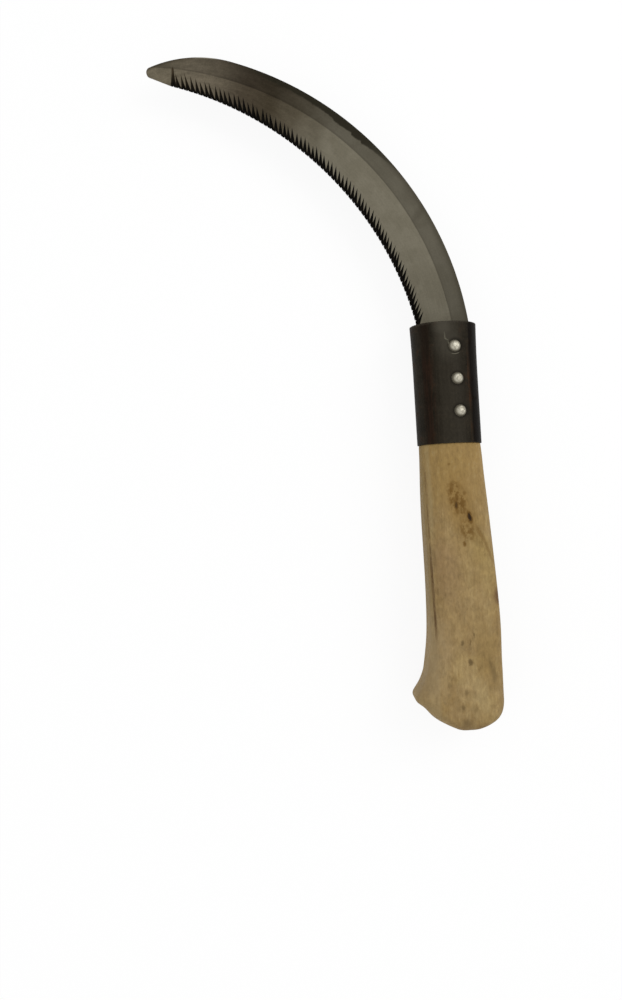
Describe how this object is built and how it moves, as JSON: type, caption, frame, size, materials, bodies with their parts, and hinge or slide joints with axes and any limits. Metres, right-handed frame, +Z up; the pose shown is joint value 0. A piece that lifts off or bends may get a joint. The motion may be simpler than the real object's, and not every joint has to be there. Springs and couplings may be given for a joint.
{
  "type": "sickle",
  "caption": "Hand sickle: a crescent blade with a fine-toothed inner edge, riveted through a round steel ferrule into a wooden handle with a heel.",
  "frame": {"origin": "under the middle of the sickle's bounding box, at the level of the lowest rivet tail, with the sickle lying on its back", "axes": "+Z up, out of the bevelled face; +Y along the handle from the heel to the blade; the toothed edge faces -X"},
  "size_m": [0.1496, 0.3214, 0.0325],
  "materials": {
    "blade_steel": "ground grey steel with a brighter bevel and dark forge scale along the spine",
    "ferrule_steel": "satin brown-black oiled steel with faint rust streaks",
    "handle_wood": "bare pale hardwood with lengthwise grain and dark knots",
    "rivet_metal": "bright hammered round heads"
  },
  "bodies": {
    "root": {"blade": "blade_steel", "ferrule": "ferrule_steel", "handle": "handle_wood", "upper_rivet": "rivet_metal", "middle_rivet": "rivet_metal", "lower_rivet": "rivet_metal"}
  },
  "joints": []
}
